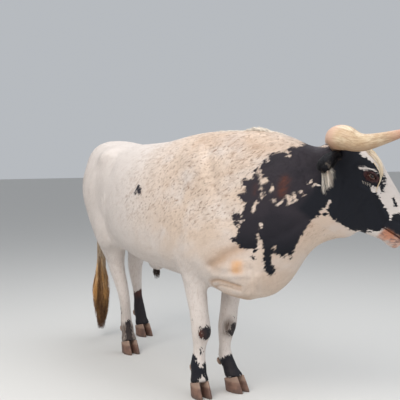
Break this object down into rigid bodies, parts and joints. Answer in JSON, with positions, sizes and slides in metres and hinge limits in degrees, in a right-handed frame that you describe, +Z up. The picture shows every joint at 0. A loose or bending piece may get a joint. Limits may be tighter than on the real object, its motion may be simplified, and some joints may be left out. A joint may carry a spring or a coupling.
{
  "type": "texas longhorn",
  "caption": "Life-size standing longhorn bull with its head turned to its left, long forward-curving horns, deep brisket, cloven hooves and a tail with a long switch.",
  "frame": {"origin": "middle of the animal's box, on the floor that its hooves stand on", "axes": "+X the way the body faces, +Y its left side, +Z up"},
  "size_m": [2.705, 1.2962, 1.5111],
  "materials": {
    "coat_pale": "short matt hair",
    "coat_dark": "short matt hair",
    "hair_tawny": "long hair",
    "hair_pale": "long hair",
    "horn": "satin keratin",
    "hoof": "matt keratin with dried mud",
    "eye": "wet gloss"
  },
  "bodies": {
    "root": {"barrel": "coat_pale", "brisket": "coat_pale", "chest": "coat_pale", "forelock": "hair_pale", "head": "coat_dark", "left_ear": "coat_dark", "left_eye": "eye", "left_fore_inner_claw": "hoof", "left_fore_inner_dewclaw": "hoof", "left_fore_lower_leg": "coat_pale", "left_fore_outer_claw": "hoof", "left_fore_outer_dewclaw": "hoof", "left_fore_upper_leg": "coat_pale", "left_hind_inner_claw": "hoof", "left_hind_inner_dewclaw": "hoof", "left_hind_lower_leg": "coat_pale", "left_hind_outer_claw": "hoof", "left_hind_outer_dewclaw": "hoof", "left_hind_upper_leg": "coat_pale", "left_horn": "horn", "neck": "coat_dark", "right_ear": "coat_dark", "right_eye": "eye", "right_fore_inner_claw": "hoof", "right_fore_inner_dewclaw": "hoof", "right_fore_lower_leg": "coat_pale", "right_fore_outer_claw": "hoof", "right_fore_outer_dewclaw": "hoof", "right_fore_upper_leg": "coat_pale", "right_hind_inner_claw": "hoof", "right_hind_inner_dewclaw": "hoof", "right_hind_lower_leg": "coat_pale", "right_hind_outer_claw": "hoof", "right_hind_outer_dewclaw": "hoof", "right_hind_upper_leg": "coat_pale", "right_horn": "horn", "rump": "coat_pale", "sheath_tuft": "coat_dark", "tail_dock": "coat_pale", "tail_switch": "hair_tawny"}
  },
  "joints": []
}
